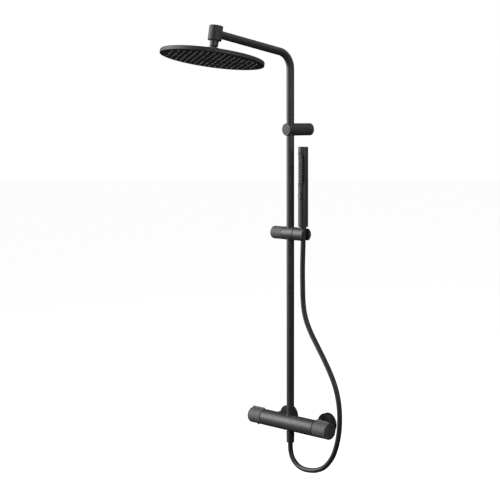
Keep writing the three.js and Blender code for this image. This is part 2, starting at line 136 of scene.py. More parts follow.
def spaced(points, closed, between, step):
    """Adds points along an outline where its height lies between two values, one every step."""
    dense = []
    count = len(points) if closed else len(points) - 1
    for i in range(count):
        here, after = points[i], points[(i + 1) % len(points)]
        dense.append(here)
        lowest, highest = sorted((here.y, after.y))
        if lowest >= between[0] - 0.01 and highest <= between[1] + 0.01:
            parts = max(1, round((after - here).length / step))
            dense += [here.lerp(after, j / parts) for j in range(1, parts)]
    return dense if closed else dense + [points[-1]]


ALONG = {
    "x": lambda r, a, h: (h, r * math.cos(a), r * math.sin(a)),
    "y": lambda r, a, h: (r * math.sin(a), h, r * math.cos(a)),
    "z": lambda r, a, h: (r * math.cos(a), r * math.sin(a), h),
}


def turned(outline, axis="z", at=(0, 0, 0), sides=MEDIUM, relief=None, fine=None):
    """A turned shape. The outline starts and ends on the axis, or closes on itself.
    relief(angle, height) adds to the radius, and fine = (from, to, step) adds rows for it."""
    closed = outline[0][0] > 0
    points = rounded(outline, closed)
    if fine:
        points = spaced(points, closed, fine[:2], fine[2])
    centre = Vector(at)
    verts, rings = [], []
    for point in points:
        if point.x < 1e-6:
            rings.append([len(verts)])
            verts.append(centre + Vector(ALONG[axis](0, 0, point.y)))
            continue
        rings.append(list(range(len(verts), len(verts) + sides)))
        for i in range(sides):
            angle = 2 * math.pi * i / sides
            r = point.x + (relief(angle, point.y, point.x) if relief else 0)
            verts.append(centre + Vector(ALONG[axis](r, angle, point.y)))
    faces = []
    pairs = list(zip(rings, rings[1:] + rings[:1])) if closed else list(zip(rings, rings[1:]))
    for one, two in pairs:
        for i in range(sides):
            j = (i + 1) % sides
            if len(one) == 1 and len(two) == 1:
                break
            if len(one) == 1:
                faces.append((one[0], two[i], two[j]))
            elif len(two) == 1:
                faces.append((one[j], one[i], two[0]))
            else:
                faces.append((one[j], one[i], two[i], two[j]))
    return verts, faces


def ring(inner, outer, start, end, axis="z", at=(0, 0, 0), sides=MEDIUM, edge=0.3):
    """A plain ring or sleeve with softened edges."""
    outline = [(inner, start, edge), (outer, start, edge), (outer, end, edge), (inner, end, edge)]
    return turned(outline, axis, at, sides)


def bar(r, start, end, axis="z", at=(0, 0, 0), sides=MEDIUM, edge=0.0):
    """A plain round bar with softened edges."""
    return turned([(0, start), (r, start, edge), (r, end, edge), (0, end)], axis, at, sides)


def stadium(width, height, sides=16):
    """An upright oblong with round ends, as (x, z) points."""
    r = width / 2
    straight = height / 2 - r
    points = []
    for centre, start in ((straight, 0), (-straight, math.pi)):
        for i in range(sides + 1):
            angle = start + math.pi * i / sides
            points.append((r * math.cos(angle), centre + r * math.sin(angle)))
    return points


def oblong(width, height, layers, at):
    """A solid with oblong layers along Y. Each layer is (inset, y); the first and last are closed."""
    verts, faces = [], []
    count = len(stadium(width, height))
    for inset, y in layers:
        for x, z in stadium(width - 2 * inset, height - 2 * inset):
            verts.append(Vector((at[0] + x, y, at[2] + z)))
    for layer in range(len(layers) - 1):
        for i in range(count):
            j = (i + 1) % count
            a, b = layer * count, (layer + 1) * count
            faces.append((a + i, a + j, b + j, b + i))
    faces.append(tuple(range(count)))
    faces.append(tuple(reversed(range((len(layers) - 1) * count, len(layers) * count))))
    return verts, faces


def hexagon(corner_r, start, end, at):
    """A six-sided bar along Y with a corner at the top."""
    verts = []
    for y in (start, end):
        for i in range(6):
            angle = math.pi * i / 3
            verts.append(Vector((at[0] + corner_r * math.sin(angle), y, at[2] + corner_r * math.cos(angle))))
    faces = [(i, (i + 1) % 6, 6 + (i + 1) % 6, 6 + i) for i in range(6)]
    faces += [tuple(range(6)), tuple(range(11, 5, -1))]
    return verts, faces


def block(size, centre, edge=0.4):
    """A box with rounded edges."""
    mesh = bmesh.new()
    bmesh.ops.create_cube(mesh, size=1)
    place = Matrix.Translation(centre) @ Matrix.Diagonal((*size, 1))
    bmesh.ops.transform(mesh, matrix=place, verts=mesh.verts)
    bmesh.ops.bevel(mesh, geom=mesh.edges[:], offset=edge, segments=3, profile=0.5, affect="EDGES")
    return from_bmesh(mesh)


def from_bmesh(mesh):
    mesh.verts.ensure_lookup_table()
    mesh.verts.index_update()
    verts = [vert.co.copy() for vert in mesh.verts]
    faces = [tuple(vert.index for vert in face.verts) for face in mesh.faces]
    mesh.free()
    return verts, faces


def joined(*shapes):
    verts, faces = [], []
    for points, sides in shapes:
        start = len(verts)
        verts += points
        faces += [tuple(start + i for i in face) for face in sides]
    return verts, faces


def moved(shape, matrix):
    return [matrix @ point for point in shape[0]], shape[1]


def swept(path, tangents, side, outline, sides=SMALL):
    """A tube along a path in a plane. side is the plane's normal, and outline gives the radii of the
    skin; with two radii the tube is hollow."""
    normal = Vector(side)
    verts, faces = [], []
    for r in outline:
        for point, tangent in zip(path, tangents):
            across = tangent.cross(normal)
            for i in range(sides):
                angle = 2 * math.pi * i / sides
                verts.append(point + (normal * math.cos(angle) + across * math.sin(angle)) * r)
    count = len(path)

    def index(skin, station, i):
        return (skin * count + station) * sides + i % sides

    for skin in range(len(outline)):
        for station in range(count - 1):
            for i in range(sides):
                quad = [index(skin, station, i), index(skin, station, i + 1),
                        index(skin, station + 1, i + 1), index(skin, station + 1, i)]
                faces.append(tuple(quad if skin == 0 else reversed(quad)))
    for station in (0, count - 1):
        if len(outline) == 2:
            for i in range(sides):
                faces.append((index(0, station, i), index(0, station, i + 1),
                              index(1, station, i + 1), index(1, station, i)))
        else:
            faces.append(tuple(index(0, station, i) for i in range(sides)))
    return verts, faces


def to_mesh(name, shape):
    mesh = bpy.data.meshes.new(name)
    mesh.from_pydata([tuple(point) for point in shape[0]], [], shape[1])
    work = bmesh.new()
    work.from_mesh(mesh)
    bmesh.ops.recalc_face_normals(work, faces=work.faces[:])
    work.to_mesh(mesh)
    work.free()
    return mesh


def carved(base, cut=(), add=(), keep=()):
    """Joins the added shapes to the base, keeps what lies inside each kept one and cuts the others away."""
    body = bpy.data.objects.new("base", to_mesh("base", base))
    tools = [body]
    bpy.context.scene.collection.objects.link(body)
    for operation, shapes in (("UNION", add), ("INTERSECT", keep), ("DIFFERENCE", cut)):
        for shape in shapes:
            tool = bpy.data.objects.new("tool", to_mesh("tool", shape))
            bpy.context.scene.collection.objects.link(tool)
            tools.append(tool)
            step = body.modifiers.new(operation, "BOOLEAN")
            step.operation = operation
            step.object = tool
            step.solver = "MANIFOLD"
    bpy.context.view_layer.update()
    result = body.evaluated_get(bpy.context.evaluated_depsgraph_get()).to_mesh()
    verts = [vert.co.copy() for vert in result.vertices]
    faces = [tuple(face.vertices) for face in result.polygons]
    for tool in tools:
        data = tool.data
        bpy.data.objects.remove(tool)
        bpy.data.meshes.remove(data)
    return verts, faces


def build(name, shape, material, crease=32):
    """A smooth-shaded object, in metres. Edges sharper than crease degrees stay crisp."""
    mesh = to_mesh(name, moved(shape, Matrix.Scale(MM, 4)))
    mesh.polygons.foreach_set("use_smooth", [True] * len(mesh.polygons))
    mesh.set_sharp_from_angle(angle=math.radians(crease))
    mesh.materials.append(material)
    piece = bpy.data.objects.new(name, mesh)
    bpy.context.scene.collection.objects.link(piece)
    return piece


BODY_OF = {
    node: body
    for body, nodes in frame["record"]["behaviour"]["bodies"].items()
    for node in nodes
}


def stand_for(node, shape, finish, crease=32):
    """The finished piece that is shown instead of a CAD node, on the same body."""
    slot, material = finish
    piece = build(node + "_finished", shape, material, crease)
    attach(piece, BODY_OF[node])
    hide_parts(node)
    return piece


# ---- Materials: each is (record slot, node material) ----
def base_material(name, roughness, metallic=0.0, specular=0.5, coat=0.0, coat_roughness=0.3):
    material = bpy.data.materials.new(name)
    material.use_nodes = True
    shader = material.node_tree.nodes["Principled BSDF"]
    shader.inputs["Roughness"].default_value = roughness
    shader.inputs["Metallic"].default_value = metallic
    shader.inputs["Specular IOR Level"].default_value = specular
    shader.inputs["Coat Weight"].default_value = coat
    shader.inputs["Coat Roughness"].default_value = coat_roughness
    return material


def noise(material, scale, detail=2.0, roughness=0.5, stretch=(1, 1, 1)):
    """Noise fixed to the object, with scale in features per metre."""
    tree = material.node_tree
    place = tree.nodes.new("ShaderNodeTexCoord")
    mapping = tree.nodes.new("ShaderNodeMapping")
    mapping.inputs["Scale"].default_value = stretch
    field = tree.nodes.new("ShaderNodeTexNoise")
    field.inputs["Scale"].default_value = scale
    field.inputs["Detail"].default_value = detail
    field.inputs["Roughness"].default_value = roughness
    tree.links.new(place.outputs["Object"], mapping.inputs["Vector"])
    tree.links.new(mapping.outputs["Vector"], field.inputs["Vector"])
    return field.outputs["Fac"]


def colour_between(material, factor, dark, light, start=0.3, end=0.7):
    tree = material.node_tree
    ramp = tree.nodes.new("ShaderNodeValToRGB")
    ramp.color_ramp.elements[0].position = start
    ramp.color_ramp.elements[0].color = (*dark, 1)
    ramp.color_ramp.elements[1].position = end
    ramp.color_ramp.elements[1].color = (*light, 1)
    tree.links.new(factor, ramp.inputs["Fac"])
    tree.links.new(ramp.outputs["Color"], tree.nodes["Principled BSDF"].inputs["Base Color"])


def roughness_between(material, factor, smooth, rough):
    tree = material.node_tree
    spread = tree.nodes.new("ShaderNodeMapRange")
    spread.inputs["From Min"].default_value = 0.3
    spread.inputs["From Max"].default_value = 0.7
    spread.inputs["To Min"].default_value = smooth
    spread.inputs["To Max"].default_value = rough
    tree.links.new(factor, spread.inputs["Value"])
    tree.links.new(spread.outputs["Result"], tree.nodes["Principled BSDF"].inputs["Roughness"])


def bumped(material, *layers):
    """Relief from noise layers, each (height field, strength, depth in metres)."""
    tree = material.node_tree
    below = None
    for field, strength, depth in layers:
        bump = tree.nodes.new("ShaderNodeBump")
        bump.inputs["Strength"].default_value = strength
        bump.inputs["Distance"].default_value = depth
        tree.links.new(field, bump.inputs["Height"])
        if below:
            tree.links.new(below, bump.inputs["Normal"])
        below = bump.outputs["Normal"]
    tree.links.new(below, tree.nodes["Principled BSDF"].inputs["Normal"])


def grey(value, blue=0.0):
    return (value, value, value + blue)


def satin_coating(name, slot, dark, light, smooth, rough, grain=0.35, specular=0.5):
    """Powder coating: a fine orange-peel skin over a slow change in gloss and shade."""
    material = base_material(name, (smooth + rough) / 2, specular=specular)
    slow = noise(material, 22, detail=3)
    colour_between(material, slow, grey(dark, 0.001), grey(light, 0.001))
    roughness_between(material, noise(material, 160, detail=4), smooth, rough)
    peel = noise(material, 900, detail=2)
    dust = noise(material, 4200, detail=1)
    bumped(material, (peel, grain, 0.00006), (dust, grain, 0.00002))
    return slot, material


def moulded(name, slot, dark, light, smooth, rough, grain=0.25, specular=0.5):
    """Moulded plastic or rubber with a fine matt grain."""
    material = base_material(name, (smooth + rough) / 2, specular=specular)
    colour_between(material, noise(material, 90, detail=3), grey(dark), grey(light))
    roughness_between(material, noise(material, 420, detail=3), smooth, rough)
    bumped(material, (noise(material, 3000, detail=2), grain, 0.00003))
    return slot, material


def machined(name, slot, dark, light, smooth, rough, stretch):
    """Turned metal: fine marks round the piece."""
    material = base_material(name, (smooth + rough) / 2, metallic=1.0)
    colour_between(material, noise(material, 60, detail=3), dark, light)
    marks = noise(material, 900, detail=3, stretch=stretch)
    roughness_between(material, marks, smooth, rough)
    bumped(material, (marks, 0.3, 0.00002))
    return slot, material


COATING = satin_coating("satin_black_coating", "coating", 0.024, 0.03, 0.48, 0.57)
KNOB_COATING = satin_coating("knob_black_coating", "knob_coating", 0.055, 0.066, 0.62, 0.72)
MATT_COATING = satin_coating("matt_black_coating", "coating", 0.036, 0.044, 0.58, 0.68, specular=0.36)
# A darker copy of the satin coating for the wall roses: painted shade, so they look more shaded than the
# lights leave them.
PAINTED_SHADE_COATING = satin_coating("painted_shade_black_coating", "coating", 0.01, 0.013, 0.56, 0.66, specular=0.22)
FACE = moulded("spray_face_plastic", "spray_face", 0.02, 0.028, 0.5, 0.62, specular=0.4)
PLASTIC = moulded("black_acetal", "plastic", 0.012, 0.017, 0.42, 0.55)
HAND_FACE = moulded("hand_face_plastic", "spray_face", 0.01, 0.014, 0.6, 0.7, specular=0.15)
RUBBER = moulded("dark_silicone", "rubber", 0.33, 0.4, 0.5, 0.65)
HOSE = moulded("hose_skin", "hose", 0.016, 0.021, 0.44, 0.56, grain=0.12, specular=0.4)
BRASS = machined("turned_brass", "brass", (0.52, 0.36, 0.15), (0.62, 0.45, 0.2), 0.22, 0.38, (6, 1, 1))
STEEL = machined("stainless_steel", "steel", grey(0.42), grey(0.52), 0.24, 0.4, (1, 1, 6))


# ---- Hose: one smooth run from the hand shower down and round to the mixer's outlet ----
# It is in three lengths, end to end.
HOSE_Y = AXIS_Y * MM
HOSE_ROUTE = [Vector((x, HOSE_Y, z)) for x, z in (
    (0.0495, 0.5309), (0.0495, 0.512), (0.0495, 0.492), (0.0486, 0.467), (0.0476, 0.435),
    (0.0474, 0.403), (0.048, 0.371), (0.0492, 0.34), (0.0532, 0.312), (0.06, 0.29), (0.0699, 0.27),
    (0.0839, 0.2485), (0.1031, 0.2235), (0.1266, 0.193), (0.15, 0.16), (0.168, 0.1295), (0.18, 0.099),
    (0.1864, 0.0685), (0.1882, 0.037), (0.186, 0.005), (0.1786, -0.028), (0.1654, -0.06),
    (0.1495, -0.0818), (0.1304, -0.0988), (0.1078, -0.11), (0.083, -0.116), (0.0586, -0.1178),
    (0.0426, -0.1162), (0.0272, -0.1106), (0.0108, -0.0976), (0.0019, -0.0792), (0, -0.0586),
    (0, -0.046), (0, -0.0339),
)]
HOSE_R = 6.75
HOSE_STEP = 0.00125  # metres between rings of the hose's skin
RIB_PITCH = 0.005  # the wound core shows faintly through the skin
RIB_HEIGHT = 0.07


def centripetal(points, steps=24):
    """A centripetal Catmull-Rom curve through the points."""
    ends = [points[0] * 2 - points[1], *points, points[-1] * 2 - points[-2]]
    curve = []
    for a, b, c, d in zip(ends, ends[1:], ends[2:], ends[3:]):
        ta, tb, tc = (math.sqrt((q - p).length) for p, q in ((a, b), (b, c), (c, d)))
        start = ((b - a) / ta - (c - a) / (ta + tb) + (c - b) / tb) * tb
        end = ((c - b) / tb - (d - b) / (tb + tc) + (d - c) / tc) * tb
        for i in range(steps):
            t = i / steps
            curve.append(b + start * t + (c * 3 - b * 3 - start * 2 - end) * t ** 2
                         + (b * 2 - c * 2 + start + end) * t ** 3)
    return curve + [points[-1]]


def evenly(curve, step):
    """The curve again, with points at equal distances along it."""
    lengths = [0.0]
    for a, b in zip(curve, curve[1:]):
        lengths.append(lengths[-1] + (b - a).length)
    count = round(lengths[-1] / step)
    points, i = [], 0
    for k in range(count + 1):
        want = lengths[-1] * k / count
        while i < len(lengths) - 2 and lengths[i + 1] < want:
            i += 1
        share = (want - lengths[i]) / (lengths[i + 1] - lengths[i])
        points.append(curve[i].lerp(curve[i + 1], share))
    return points


def hose_shape(path, first):
    """The skin round part of the hose's line. first is its place in the whole hose's rings."""
    tangents = [(b - a).normalized() for a, b in zip(path[:1] + path, path[1:] + path[-1:])]
    verts, faces = swept([point / MM for point in path], tangents, (0, 1, 0), [1.0], sides=SMALL)
    for station, point in enumerate(path):
        along = (first + station) * HOSE_STEP / RIB_PITCH
        r = HOSE_R - RIB_HEIGHT * math.sin(math.pi * along) ** 2
        centre = point / MM
        for i in range(station * SMALL, (station + 1) * SMALL):
            verts[i] = centre + (verts[i] - centre) * r
    return verts, faces


def add_hose():
    line = evenly(centripetal(HOSE_ROUTE), HOSE_STEP)
    tilt_top = 0.498  # where the upper nut starts, the hose is straight in it
    turn_top = 0.446
    slide_top = 0.361
    clear = Vector((0, 0, 0.001))  # the listed start and end of each length lie just inside it
    cuts = [0]
    for height in (turn_top, slide_top):
        i = next(i for i, point in enumerate(line) if point.z < height)
        cuts.append(round(i * HOSE_STEP / RIB_PITCH) * round(RIB_PITCH / HOSE_STEP))
    cuts.append(len(line) - 1)
    tilt_at, turn_at, slide_at = (Vector((0.0495, HOSE_Y, z)) for z in (tilt_top, turn_top, slide_top))
    # The slide's listed span lies along a nearly upright line.
    rise = math.radians(87)
    slant = Vector((math.cos(rise), 0, math.sin(rise)))
    slide_from, slide_to = -0.05, 0.36
    blends = (
        ("hose_top", "slider", "holder", turn_at + clear, tilt_at),
        ("hose_middle", "slider_carrier", "slider", slide_at + clear, turn_at - clear),
        ("hose_loop", "column", "slider_carrier", slant * slide_from, slant * slide_to),
    )
    for (name, below, above, start, end), first, last in zip(blends, cuts, cuts[1:]):
        path = line[first:last + 1]
        slot, material = HOSE
        piece = build(name, hose_shape(path, first), material)
        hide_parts("shower_hose")
        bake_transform(piece)


add_hose()


# ---- Mixer body: a bar with a seat for a cartridge in each end ----
MIXER_R = 21.85
MIXER_HALF = high("mixer_body", "x")
SEAT_R = 15.5
SEAT_END = 62
OUTLET_BOTTOM = low("mixer_body", "z")
OUTLET_BORE_R = 5.5
INLET_BORE_R = 8
TAIL_R = 13.2
TAIL_END = high("mixer_body", "y")


def add_mixer():
    waterway = 7
    skin = turned([
        (MIXER_R, -MIXER_HALF, 0.9), (MIXER_R, MIXER_HALF, 0.9), (SEAT_R, MIXER_HALF, 0.5),
        (SEAT_R, SEAT_END), (waterway, SEAT_END), (waterway, -SEAT_END),
        (SEAT_R, -SEAT_END), (SEAT_R, -MIXER_HALF, 0.5),
    ], "x", AXIS, sides=FINE)
    inlets = [middle("wall_rose_left", "x"), middle("wall_rose_right", "x")]
    tails = [ring(INLET_BORE_R, TAIL_R, AXIS_Y + 17.5, TAIL_END, "y", (x, 0, 0)) for x in inlets]
    outlet = ring(OUTLET_BORE_R, 8.6, OUTLET_BOTTOM, -18, "z", AXIS, SMALL)
    socket_floor = 13
    body = carved(skin, add=[*tails, outlet], cut=[
        *[bar(INLET_BORE_R, AXIS_Y + 10, TAIL_END + 1, "y", (x, 0, 0), SMALL) for x in inlets],
        bar(RISER_R + GAP, socket_floor, MIXER_R + 5, "z", AXIS, SMALL),
        bar(6, 0, socket_floor + 1, "z", AXIS, SMALL),
        bar(OUTLET_BORE_R, OUTLET_BOTTOM - 1, 0, "z", AXIS, SMALL),
    ])
    stand_for("mixer_body", body, COATING)


# ---- Both ends of the mixer: cartridge, spindle, stop ring and knurled knob with its fin ----
KNURL_PITCH = 1.9
KNURL_DEPTH = 0.16


def knurl(sides_r, start, end):
    """A fine diamond pattern of grooves round a knob of that radius, between two heights."""
    around = round(2 * math.pi * sides_r / (2 * KNURL_PITCH))

    def groove(turns):
        distance = abs(turns % 1 - 0.5)
        return max(0.0, 1 - distance / 0.22)

    def relief(angle, height, r):
        if r < sides_r - 0.05 or not start <= height <= end:
            return 0.0
        fade = min(1.0, (height - start) / 0.8, (end - height) / 0.8)
        one = around * angle / (2 * math.pi) + height / (2 * KNURL_PITCH)
        other = around * angle / (2 * math.pi) - height / (2 * KNURL_PITCH)
        return -KNURL_DEPTH * fade * max(groove(one), groove(other))

    return relief


def add_mixer_end(side, names):
    spindle_r = 4
    neck_r = 11  # the cartridge's neck, inside the stop ring
    knob_r = 21.7
    knob_start, knob_end = sorted(abs(edge(names["knob"], "x")) for edge in (low, high))
    skirt_r = 18.6
    skirt_floor = 134

    def end_shape(outline, sides=MEDIUM, **options):
        outline = [(point[0], side * point[1], *point[2:]) for point in outline]
        return turned(outline, "x", AXIS, sides, **options)

    seal_groove = [(SEAT_R - GAP, SEAT_END + 6, 0.2), (SEAT_R - 1.6, SEAT_END + 6, 0.3),
                   (SEAT_R - 1.6, SEAT_END + 8.4, 0.3), (SEAT_R - GAP, SEAT_END + 8.4, 0.2)]
    second_groove = [(r, h + 18, size) for r, h, size in seal_groove]
    stand_for(names["cartridge"], end_shape([
        (spindle_r + GAP, SEAT_END + GAP), (SEAT_R - GAP, SEAT_END + GAP, 0.5), *seal_groove, *second_groove,
        (SEAT_R - GAP, MIXER_HALF - 4, 0.4), (neck_r, MIXER_HALF - 3, 0.4), (neck_r, MIXER_HALF + 6, 0.5),
        (spindle_r + GAP, MIXER_HALF + 6, 0.3),
    ]), BRASS)

    def splines(angle, height, r):
        on_spline = abs(height) > MIXER_HALF + 12 and r > spindle_r - 0.1
        return -0.22 * (0.5 - 0.5 * math.cos(20 * angle)) if on_spline else 0.0

    stand_for(names["spindle"], end_shape([
        (0, SEAT_END + 20), (spindle_r, SEAT_END + 20, 0.4), (spindle_r, MIXER_HALF + 11.5),
        (spindle_r, MIXER_HALF + 12.5), (spindle_r, skirt_floor + 4, 0.6), (0, skirt_floor + 4),
    ], 120, relief=splines), BRASS)
    stop_r = radius(names["stop_ring"], "z")
    stand_for(names["stop_ring"], end_shape([
        (neck_r + GAP, MIXER_HALF + GAP, 0.2), (stop_r, MIXER_HALF + GAP, 0.3),
        (stop_r, MIXER_HALF + 3.4, 0.6),
        (neck_r + GAP, MIXER_HALF + 3.4, 0.3),
    ]), PLASTIC)

    grip = (knob_start + 1.6, knob_end - 2.2)
    lowest, highest = sorted((side * grip[0], side * grip[1]))
    cap = end_shape([
        (skirt_r, knob_start, 0.3), (knob_r, knob_start, 0.7), (knob_r, grip[0]), (knob_r, grip[1]),
        (knob_r, knob_end - 1.3, 0.9), (knob_r - 1.2, knob_end, 0.6), (0, knob_end), (0, skirt_floor + 5),
        (spindle_r + GAP, skirt_floor + 5), (spindle_r + GAP, skirt_floor, 0.3), (skirt_r, skirt_floor, 0.8),
    ], 360, relief=knurl(knob_r, lowest, highest), fine=(lowest, highest, 0.42))
    fin_top = high(names["knob"], "z")
    fin_length = knob_end - knob_start - 2.2
    fin_foot = knob_r - 2.6
    fin_x = side * (knob_start + 0.7 + fin_length / 2)
    fin = block((fin_length, 5, fin_top - fin_foot), (fin_x, AXIS_Y, (fin_top + fin_foot) / 2), edge=1.9)
    ports = [block((fin_length, 1.2, 2.4), (fin_x, AXIS_Y + y, knob_r), edge=0.3) for y in (-3.2, 3.2)]
    if names["button"]:
        button_x = middle(names["button"], "x")
        ports.append(bar(2.4 + GAP, -knob_r - 2, -skirt_r + 1, "z", (button_x, AXIS_Y, 0), SMALL))
    knob = stand_for(names["knob"], carved(cap, add=[fin], cut=ports), KNOB_COATING)
    knob.data.materials.append(COATING[1])
    for face in knob.data.polygons:
        if math.hypot(face.center.y / MM - AXIS_Y, face.center.z / MM) > knob_r + 0.2:
            face.material_index = 1
    if names["button"]:
        tip = low(names["button"], "z")
        stand_for(names["button"], turned([
            (0, tip), (2, tip, 0.4), (2.4, tip + 0.4, 0.4), (2.4, -skirt_r + 0.7),
            (3.6, -skirt_r + 0.7, 0.3), (3.6, -skirt_r + 2.2, 0.3), (0, -skirt_r + 2.2),
        ], "z", (button_x, AXIS_Y, 0), SMALL), PLASTIC)


# ---- Inlets: nut, washer, union and rose on each side ----
def add_inlet(side):
    nut, union, rose = f"inlet_nut_{side}", f"wall_union_{side}", f"wall_rose_{side}"
    at = (middle(rose, "x"), 0, 0)
    union_r = 10.5
    corner_r = radius(nut, "z")
    nut_front, nut_back = low(nut, "y"), high(nut, "y")
    washer_front, washer_back = low(f"inlet_washer_{side}", "y"), high(f"inlet_washer_{side}", "y")
    flange = low(union, "y")
    lip = flange + 2.5 + GAP
    flat_r = corner_r * math.cos(math.pi / 6)
    body = carved(hexagon(corner_r, nut_front, nut_back, at), keep=[turned([
        (0, nut_front), (flat_r - 0.4, nut_front, 0.2), (corner_r + 0.1, nut_front + 1.5),
        (corner_r + 0.1, nut_back - 1.5), (flat_r - 0.4, nut_back, 0.2), (0, nut_back),
    ], "y", at)], cut=[
        bar(TAIL_R + GAP, nut_front - 4, lip, "y", at),
        bar(union_r + GAP, lip - 1, nut_back + 4, "y", at),
    ])
    stand_for(nut, body, COATING)
    washer = ring(INLET_BORE_R, 12.8, washer_front, washer_back, "y", at, edge=0.4)
    stand_for(f"inlet_washer_{side}", washer, RUBBER)
    stand_for(union, turned([
        (INLET_BORE_R, flange, 0.3), (12.9, flange, 0.4), (12.9, lip - GAP, 0.3), (union_r, lip - GAP, 0.3),
        (union_r, -0.5, 0.4), (INLET_BORE_R, -0.5, 0.3),
    ], "y", at), COATING)
    rose_r = radius(rose, "z")
    face = low(rose, "y")
    wall = 2.5
    # The rose takes the darker copy of the coating, which is painted shade.
    stand_for(rose, turned([
        (union_r + GAP, face, 0.3), (rose_r - 2, face, 1.6), (rose_r - 0.7, face + 1.2, 0.8),
        (rose_r - 0.7, -5.6, 0.1), (rose_r, -5, 0.3), (rose_r, 0, 0.2), (rose_r - 3.4, 0, 0.3),
        (rose_r - 3.4, face + wall, 0.6), (union_r + GAP, face + wall, 0.3),
    ], "y", at, sides=FINE), PAINTED_SHADE_COATING)


# ---- Riser, its collar, the sleeve inside the joint and the bent arm ----
def add_riser():
    foot, top = low("riser_tube", "z"), high("riser_tube", "z")
    stand_for("riser_tube", ring(BORE_R, RISER_R, foot, top, "z", AXIS), COATING)
    joint_low, joint_high = low("riser_joint_sleeve", "z"), high("riser_joint_sleeve", "z")
    stand_for("riser_joint_sleeve", ring(BORE_R - 2, BORE_R - GAP, joint_low, joint_high, "z", AXIS), BRASS)
    collar_top = high("riser_collar", "z")
    foot, r = 17, RISER_R + 1.9
    collar = turned([
        (RISER_R + GAP, foot), (r, foot), (r, collar_top, 1.0), (RISER_R + GAP, collar_top, 0.2),
    ], "z", AXIS)
    stand_for("riser_collar", carved(collar, cut=[bar(MIXER_R + GAP, -20, 20, "x", AXIS, FINE)]), COATING)


def joint_named(name):
    return next(joint for joint in frame["joints"] if joint["name"] == name)


SWIVEL = joint_named("head_swivel")
LEAN = math.atan2(SWIVEL["axis"][1], SWIVEL["axis"][2])  # the elbow's axis leans with the arm's rise
BALL_DROP = 42  # from the arm's axis down to the ball's centre, along the elbow's axis
BALL_CENTRE = Vector(SWIVEL["pos_m"]) / MM
ELBOW_CENTRE = BALL_CENTRE + Vector(SWIVEL["axis"]).normalized() * BALL_DROP
OVERHEAD = Matrix.Translation(ELBOW_CENTRE) @ Matrix.Rotation(-LEAN, 4, "X")


def add_arm():
    bend_r = 45
    sweep = math.pi / 2 - LEAN
    direction = Vector((0, -math.cos(LEAN), math.sin(LEAN)))
    reach = (AXIS_Y - ELBOW_CENTRE.y) / math.cos(LEAN)
    corner_z = ELBOW_CENTRE.z - reach * math.sin(LEAN)
    bend_start = corner_z - bend_r * math.tan(sweep / 2)
    pocket = 6
    foot = low("arm_tube", "z")
    path = [Vector((0, AXIS_Y, foot)), Vector((0, AXIS_Y, foot + 0.6))]
    tangents = [Vector((0, 0, 1))] * 2
    steps = 48
    for i in range(steps + 1):
        angle = sweep * i / steps
        forward = bend_r * (1 - math.cos(angle))
        path.append(Vector((0, AXIS_Y - forward, bend_start + bend_r * math.sin(angle))))
        tangents.append(Vector((0, -math.sin(angle), math.cos(angle))))
    path.append(ELBOW_CENTRE - direction * pocket)
    tangents.append(direction)
    stand_for("arm_tube", swept(path, tangents, (1, 0, 0), [RISER_R, BORE_R], MEDIUM), COATING)


# ---- Wall bracket ----
def add_bracket():
    height = middle("bracket_sleeve", "z")
    at = (0, 0, height)
    r = radius("bracket_sleeve", "x")
    face = low("bracket_sleeve", "y")
    spigot_r = 12.2
    grub_y = middle("bracket_grub_screw", "y")
    sleeve = turned([
        (0, face), (r - 0.8, face, 0.5), (r, face + 0.8, 0.5), (r, -0.3, 0.3), (spigot_r + GAP, -0.3, 0.3),
        (spigot_r + GAP, -22), (0, -22),
    ], "y", at, sides=FINE)
    stand_for("bracket_sleeve", carved(sleeve, cut=[
        bar(RISER_R + GAP, height - 25, height + 25, "z", AXIS),
        bar(2.5, height - 25, height - 8, "z", (0, grub_y, 0), SMALL),
    ]), MATT_COATING)
    stand_for("bracket_spigot", ring(2.7, spigot_r, -20, 0, "y", at, edge=0.6), STEEL)
    stand_for("bracket_wall_screw", carved(turned([
        (0, -21.7), (4.2, -21.7, 0.6), (4.6, -20.9, 0.3), (2.4, -20.3, 0.2), (2.4, -0.3, 0.6), (0, -0.3),
    ], "y", at, sides=SMALL), cut=[
        block(slot, (0, -21.7, height), edge=0.1) for slot in ((4.8, 1.6, 1), (1, 1.6, 4.8))
    ]), STEEL)
    grub_low, grub_high = low("bracket_grub_screw", "z"), high("bracket_grub_screw", "z")
    grub = bar(2.2, grub_low, grub_high, "z", (0, grub_y, 0), SMALL, edge=0.4)
    hex_socket = turned([(0, grub_low - 1), (1.3, grub_low - 1), (1.3, grub_low + 1.6), (0, grub_low + 1.6)],
                        "z", (0, grub_y, 0), 6)
    stand_for("bracket_grub_screw", carved(grub, cut=[hex_socket]), STEEL)


# ---- Elbow and ball connector, in the frame that leans with the arm: -Z runs down the elbow's axis ----
def on_arm(shape):
    return moved(shape, OVERHEAD)


ELBOW_DOWN = 18.2


